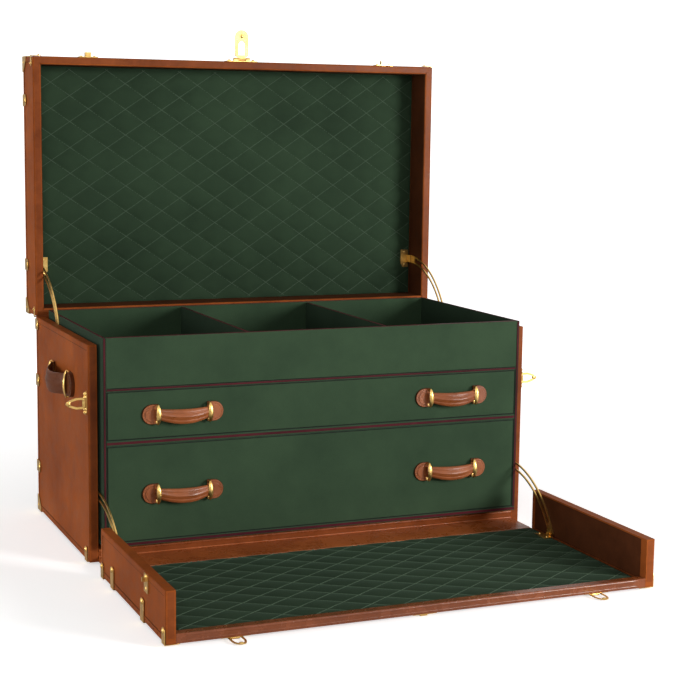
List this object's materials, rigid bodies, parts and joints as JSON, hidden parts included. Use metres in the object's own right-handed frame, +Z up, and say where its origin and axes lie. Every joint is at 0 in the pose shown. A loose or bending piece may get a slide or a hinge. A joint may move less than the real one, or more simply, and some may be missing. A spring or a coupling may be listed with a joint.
{
  "type": "footlocker trunk",
  "caption": "Leather-covered footlocker with lift-up quilted lid, drop-down quilted front, and a suede fitted case of drawers under a divided tray.",
  "frame": {"origin": "on the floor, at the centre of the footprint of the open trunk", "axes": "+X to the right seen from the front, +Y towards the back, +Z up"},
  "size_m": [0.98, 1.062, 1.0113],
  "materials": {
    "tan_leather": "satin, grained",
    "dark_leather": "satin",
    "quilted_suede": "padded, diamond quilted",
    "grip_leather": "satin, stitched",
    "green_suede": "matt nap",
    "brass": "polished, lightly aged",
    "drawer_wood": "oiled"
  },
  "bodies": {
    "trunk": {"body_back": "tan_leather", "body_floor": "dark_leather", "body_left_side": "tan_leather", "body_right_side": "tan_leather", "case_back": "green_suede", "case_base": "green_suede", "case_left_side": "green_suede", "case_right_side": "green_suede", "drawer_rail": "green_suede", "side_handle_left": "grip_leather", "side_handle_right": "grip_leather", "side_latch_plate_left": "brass", "side_latch_plate_right": "brass", "sill": "tan_leather", "stay_stud_left": "brass", "stay_stud_right": "brass", "tray_divider_left": "green_suede", "tray_divider_right": "green_suede", "tray_floor": "green_suede", "tray_front": "green_suede"},
    "lid": {"lid_board": "tan_leather", "lid_catch_left": "brass", "lid_catch_right": "brass", "lid_front_wall": "tan_leather", "lid_hinge_wall": "dark_leather", "lid_left_wall": "tan_leather", "lid_quilt": "quilted_suede", "lid_right_wall": "tan_leather", "lid_stay_bracket_left": "brass", "lid_stay_bracket_right": "brass", "hasp_plate": "brass"},
    "front": {"front_board": "tan_leather", "front_cheek_left": "tan_leather", "front_cheek_right": "tan_leather", "front_latch_plate_left": "brass", "front_latch_plate_right": "brass", "front_quilt": "quilted_suede", "front_rim": "tan_leather", "front_stay_bracket_left": "brass", "front_stay_bracket_right": "brass", "cheek_catch_left": "brass", "cheek_catch_right": "brass", "lock_plate": "brass"},
    "hasp": {"hasp": "brass"},
    "lid_stay_left": {"lid_stay_left": "brass"},
    "lid_stay_right": {"lid_stay_right": "brass"},
    "front_stay_left": {"front_stay_left": "brass"},
    "front_stay_right": {"front_stay_right": "brass"},
    "front_latch_left": {"front_latch_loop_left": "brass"},
    "front_latch_right": {"front_latch_loop_right": "brass"},
    "side_latch_left": {"side_latch_loop_left": "brass"},
    "side_latch_right": {"side_latch_loop_right": "brass"},
    "upper_drawer": {"upper_drawer_box": "drawer_wood", "upper_drawer_front": "green_suede", "upper_drawer_pull_left": "grip_leather", "upper_drawer_pull_right": "grip_leather"},
    "lower_drawer": {"lower_drawer_box": "drawer_wood", "lower_drawer_front": "green_suede", "lower_drawer_pull_left": "grip_leather", "lower_drawer_pull_right": "grip_leather"}
  },
  "joints": [
    {"name": "lid_hinge", "type": "hinge", "parent": "trunk", "child": "lid", "pos_m": [0, 0.436, 0.41225], "axis": [1, 0, 0], "range_deg": [0, 90]},
    {"name": "front_hinge", "type": "hinge", "parent": "trunk", "child": "front", "pos_m": [0, -0.096, 0.006], "axis": [-1, 0, 0], "range_deg": [0, 90]},
    {"name": "upper_drawer_slide", "type": "slide", "parent": "trunk", "child": "upper_drawer", "axis": [0, 1, 0], "range_m": [-0.3, 0]},
    {"name": "lower_drawer_slide", "type": "slide", "parent": "trunk", "child": "lower_drawer", "axis": [0, 1, 0], "range_m": [-0.3, 0]},
    {"name": "hasp_hinge", "type": "hinge", "parent": "lid", "child": "hasp", "pos_m": [0, 0.443, 0.94925], "axis": [1, 0, 0], "range_deg": [0, 90]},
    {"name": "lid_stay_left_pivot", "type": "hinge", "parent": "lid", "child": "lid_stay_left", "pos_m": [-0.43135, 0.494, 0.509], "axis": [1, 0, 0], "range_deg": [-34, 0]},
    {"name": "front_stay_left_pivot", "type": "hinge", "parent": "front", "child": "front_stay_left", "pos_m": [-0.43135, -0.176, 0.02301], "axis": [-1, 0, 0], "range_deg": [-57, 0]},
    {"name": "side_latch_left_hinge", "type": "hinge", "parent": "trunk", "child": "side_latch_left", "pos_m": [-0.4549, 0.0015, 0.304], "axis": [0, 0, 1], "range_deg": [0, 90]},
    {"name": "front_latch_left_hinge", "type": "hinge", "parent": "front", "child": "front_latch_left", "pos_m": [-0.334, -0.496, 0.0028], "axis": [1, 0, 0], "range_deg": [0, 110]},
    {"name": "lid_stay_right_pivot", "type": "hinge", "parent": "lid", "child": "lid_stay_right", "pos_m": [0.43135, 0.494, 0.509], "axis": [1, 0, 0], "range_deg": [-34, 0]},
    {"name": "front_stay_right_pivot", "type": "hinge", "parent": "front", "child": "front_stay_right", "pos_m": [0.43135, -0.176, 0.02301], "axis": [-1, 0, 0], "range_deg": [-57, 0]},
    {"name": "side_latch_right_hinge", "type": "hinge", "parent": "trunk", "child": "side_latch_right", "pos_m": [0.4549, 0.0015, 0.304], "axis": [0, 0, -1], "range_deg": [0, 90]},
    {"name": "front_latch_right_hinge", "type": "hinge", "parent": "front", "child": "front_latch_right", "pos_m": [0.334, -0.496, 0.0028], "axis": [1, 0, 0], "range_deg": [0, 110]}
  ],
  "couplings": [
    {"joint": "lid_stay_left_pivot", "follows": "lid_hinge", "ratio": -0.37},
    {"joint": "front_stay_left_pivot", "follows": "front_hinge", "ratio": -0.63},
    {"joint": "lid_stay_right_pivot", "follows": "lid_hinge", "ratio": -0.37},
    {"joint": "front_stay_right_pivot", "follows": "front_hinge", "ratio": -0.63}
  ]
}
